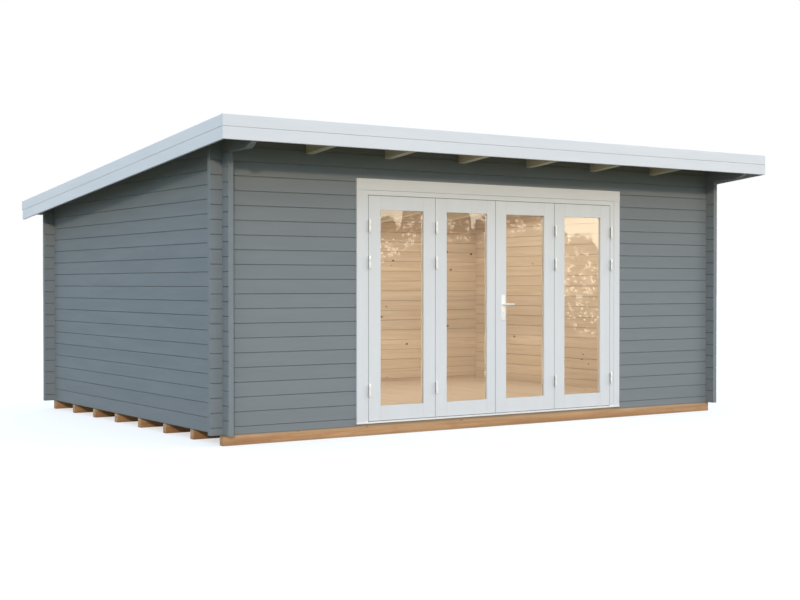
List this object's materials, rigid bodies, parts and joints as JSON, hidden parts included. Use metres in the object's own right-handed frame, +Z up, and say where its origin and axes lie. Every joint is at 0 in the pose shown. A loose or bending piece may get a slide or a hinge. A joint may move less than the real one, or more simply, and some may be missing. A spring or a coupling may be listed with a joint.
{
  "type": "garden log cabin",
  "caption": "Lean-to log cabin with crossed corner logs, a folding glazed door, deep front eaves over open rafters, and a floor and walls on foundation beams.",
  "frame": {"origin": "centre of the roof's plan outline, on the ground plane under the foundation beams", "axes": "+X along the front to the right as seen from outside, +Y from the front to the back, +Z up"},
  "size_m": [5.78, 4.522, 2.4843],
  "materials": {
    "grey_painted_logs": "blue-grey painted softwood",
    "white_painted_wood": "white painted softwood",
    "plain_pine": "unpainted pine",
    "clear_glass": "clear insulating glass",
    "roofing_felt": "mineral roofing felt",
    "white_metal": "white coated metal"
  },
  "bodies": {
    "root": {"front_wall_left": "grey_painted_logs", "front_wall_right": "grey_painted_logs", "front_wall_head": "grey_painted_logs", "back_wall": "grey_painted_logs", "left_wall": "grey_painted_logs", "right_wall": "grey_painted_logs", "left_gable_log": "grey_painted_logs", "right_gable_log": "grey_painted_logs", "door_frame_left": "white_painted_wood", "door_frame_right": "white_painted_wood", "door_frame_head": "white_painted_wood", "door_threshold": "white_painted_wood", "door_casing_left": "white_painted_wood", "door_casing_right": "white_painted_wood", "door_casing_head": "white_painted_wood", "door_leaf_1": "white_painted_wood", "door_leaf_2": "white_painted_wood", "door_leaf_3": "white_painted_wood", "door_leaf_4": "white_painted_wood", "fascia_front_lower": "white_painted_wood", "fascia_front_upper": "white_painted_wood", "fascia_left_lower": "white_painted_wood", "fascia_left_upper": "white_painted_wood", "fascia_right_lower": "white_painted_wood", "fascia_right_upper": "white_painted_wood", "fascia_rear": "white_painted_wood", "foundation_beams": "plain_pine", "floor": "plain_pine", "rafter_1": "plain_pine", "rafter_2": "plain_pine", "rafter_3": "plain_pine", "rafter_4": "plain_pine", "rafter_5": "plain_pine", "rafter_6": "plain_pine", "roof_deck": "plain_pine", "batten_left": "plain_pine", "batten_right": "plain_pine", "door_glass_1": "clear_glass", "door_glass_2": "clear_glass", "door_glass_3": "clear_glass", "door_glass_4": "clear_glass", "roof_felt": "roofing_felt", "door_hinges": "white_metal", "door_handle": "white_metal"}
  },
  "joints": []
}
